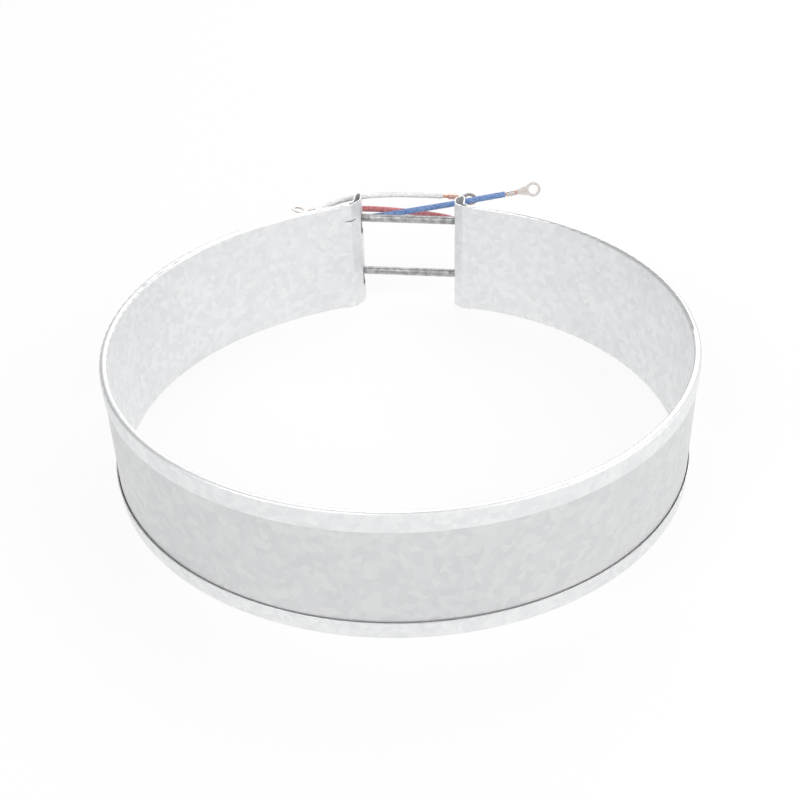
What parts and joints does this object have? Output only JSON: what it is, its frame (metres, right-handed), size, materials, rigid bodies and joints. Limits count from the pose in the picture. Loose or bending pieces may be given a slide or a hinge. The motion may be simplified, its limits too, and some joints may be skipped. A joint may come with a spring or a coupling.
{
  "type": "band heater",
  "caption": "Sprung-open ring of hemmed galvanised sheet round a sealed mica element, drawn shut by two long screws across a gap, with braided leads and ring terminals.",
  "frame": {"origin": "on the band's axis, at the middle of its height", "axes": "+Z along the band's axis with the leads' exits in the upper half, +Y through the clamping gap, +X towards the screws' heads"},
  "size_m": [0.281, 0.3067, 0.0672],
  "materials": {
    "galvanised_sheath": "spangled galvanised sheet, light scuffs",
    "galvanised_cover": "spangled galvanised sheet",
    "galvanised_hood": "pressed galvanised sheet",
    "mica": "pearly mica board",
    "ribbon": "oxidised resistance ribbon",
    "eyelet": "rolled brass",
    "rivet": "plain domed rivet",
    "screw": "zinc-plated screw steel, threads darkened",
    "washer": "zinc-plated",
    "nut": "zinc-plated",
    "blue_braid": "washed blue glass-fibre braid",
    "red_braid": "washed red glass-fibre braid",
    "earth_sleeve": "white glass-fibre sleeve",
    "conductor": "stranded copper",
    "tinned_terminal": "tinned copper",
    "copper_terminal": "copper barrel with a darkened eye"
  },
  "bodies": {
    "band": {"inner_sheath": "galvanised_sheath", "outer_cover": "galvanised_cover", "inner_mica": "mica", "element_card": "mica", "outer_mica": "mica", "resistance_ribbon": "ribbon", "element_eyelets": "eyelet", "blue_lead_hood": "galvanised_hood", "red_lead_hood": "galvanised_hood", "hood_rivets": "rivet", "earth_tag": "tinned_terminal", "earth_rivet": "rivet", "blue_lead": "blue_braid", "blue_conductor": "conductor", "blue_terminal": "tinned_terminal", "red_lead": "red_braid", "red_conductor": "conductor", "red_terminal": "tinned_terminal", "earth_lead": "earth_sleeve", "earth_conductor": "conductor", "earth_terminal": "copper_terminal", "upper_nut_washer": "washer", "upper_clamp_nut": "nut", "lower_nut_washer": "washer", "lower_clamp_nut": "nut"},
    "upper_washer": {"upper_head_washer": "washer"},
    "upper_screw": {"upper_clamp_screw": "screw"},
    "lower_washer": {"lower_head_washer": "washer"},
    "lower_screw": {"lower_clamp_screw": "screw"}
  },
  "joints": [
    {"name": "upper_screw_travel", "type": "slide", "parent": "band", "child": "upper_washer", "axis": [0.9957, -0.0924, 0], "range_m": [0, 0.0104]},
    {"name": "upper_screw_turn", "type": "hinge", "parent": "upper_washer", "child": "upper_screw", "pos_m": [0, 0.1455, 0.0192], "axis": [0.9957, -0.0924, 0], "range_deg": [0, 4681]},
    {"name": "lower_screw_travel", "type": "slide", "parent": "band", "child": "lower_washer", "axis": [0.9957, -0.0924, 0], "range_m": [0, 0.0104]},
    {"name": "lower_screw_turn", "type": "hinge", "parent": "lower_washer", "child": "lower_screw", "pos_m": [0, 0.1455, -0.0148], "axis": [0.9957, -0.0924, 0], "range_deg": [0, 4681]}
  ],
  "couplings": [
    {"joint": "upper_screw_turn", "follows": "upper_screw_travel", "rad_per_m": 7854},
    {"joint": "lower_screw_turn", "follows": "lower_screw_travel", "rad_per_m": 7854}
  ]
}
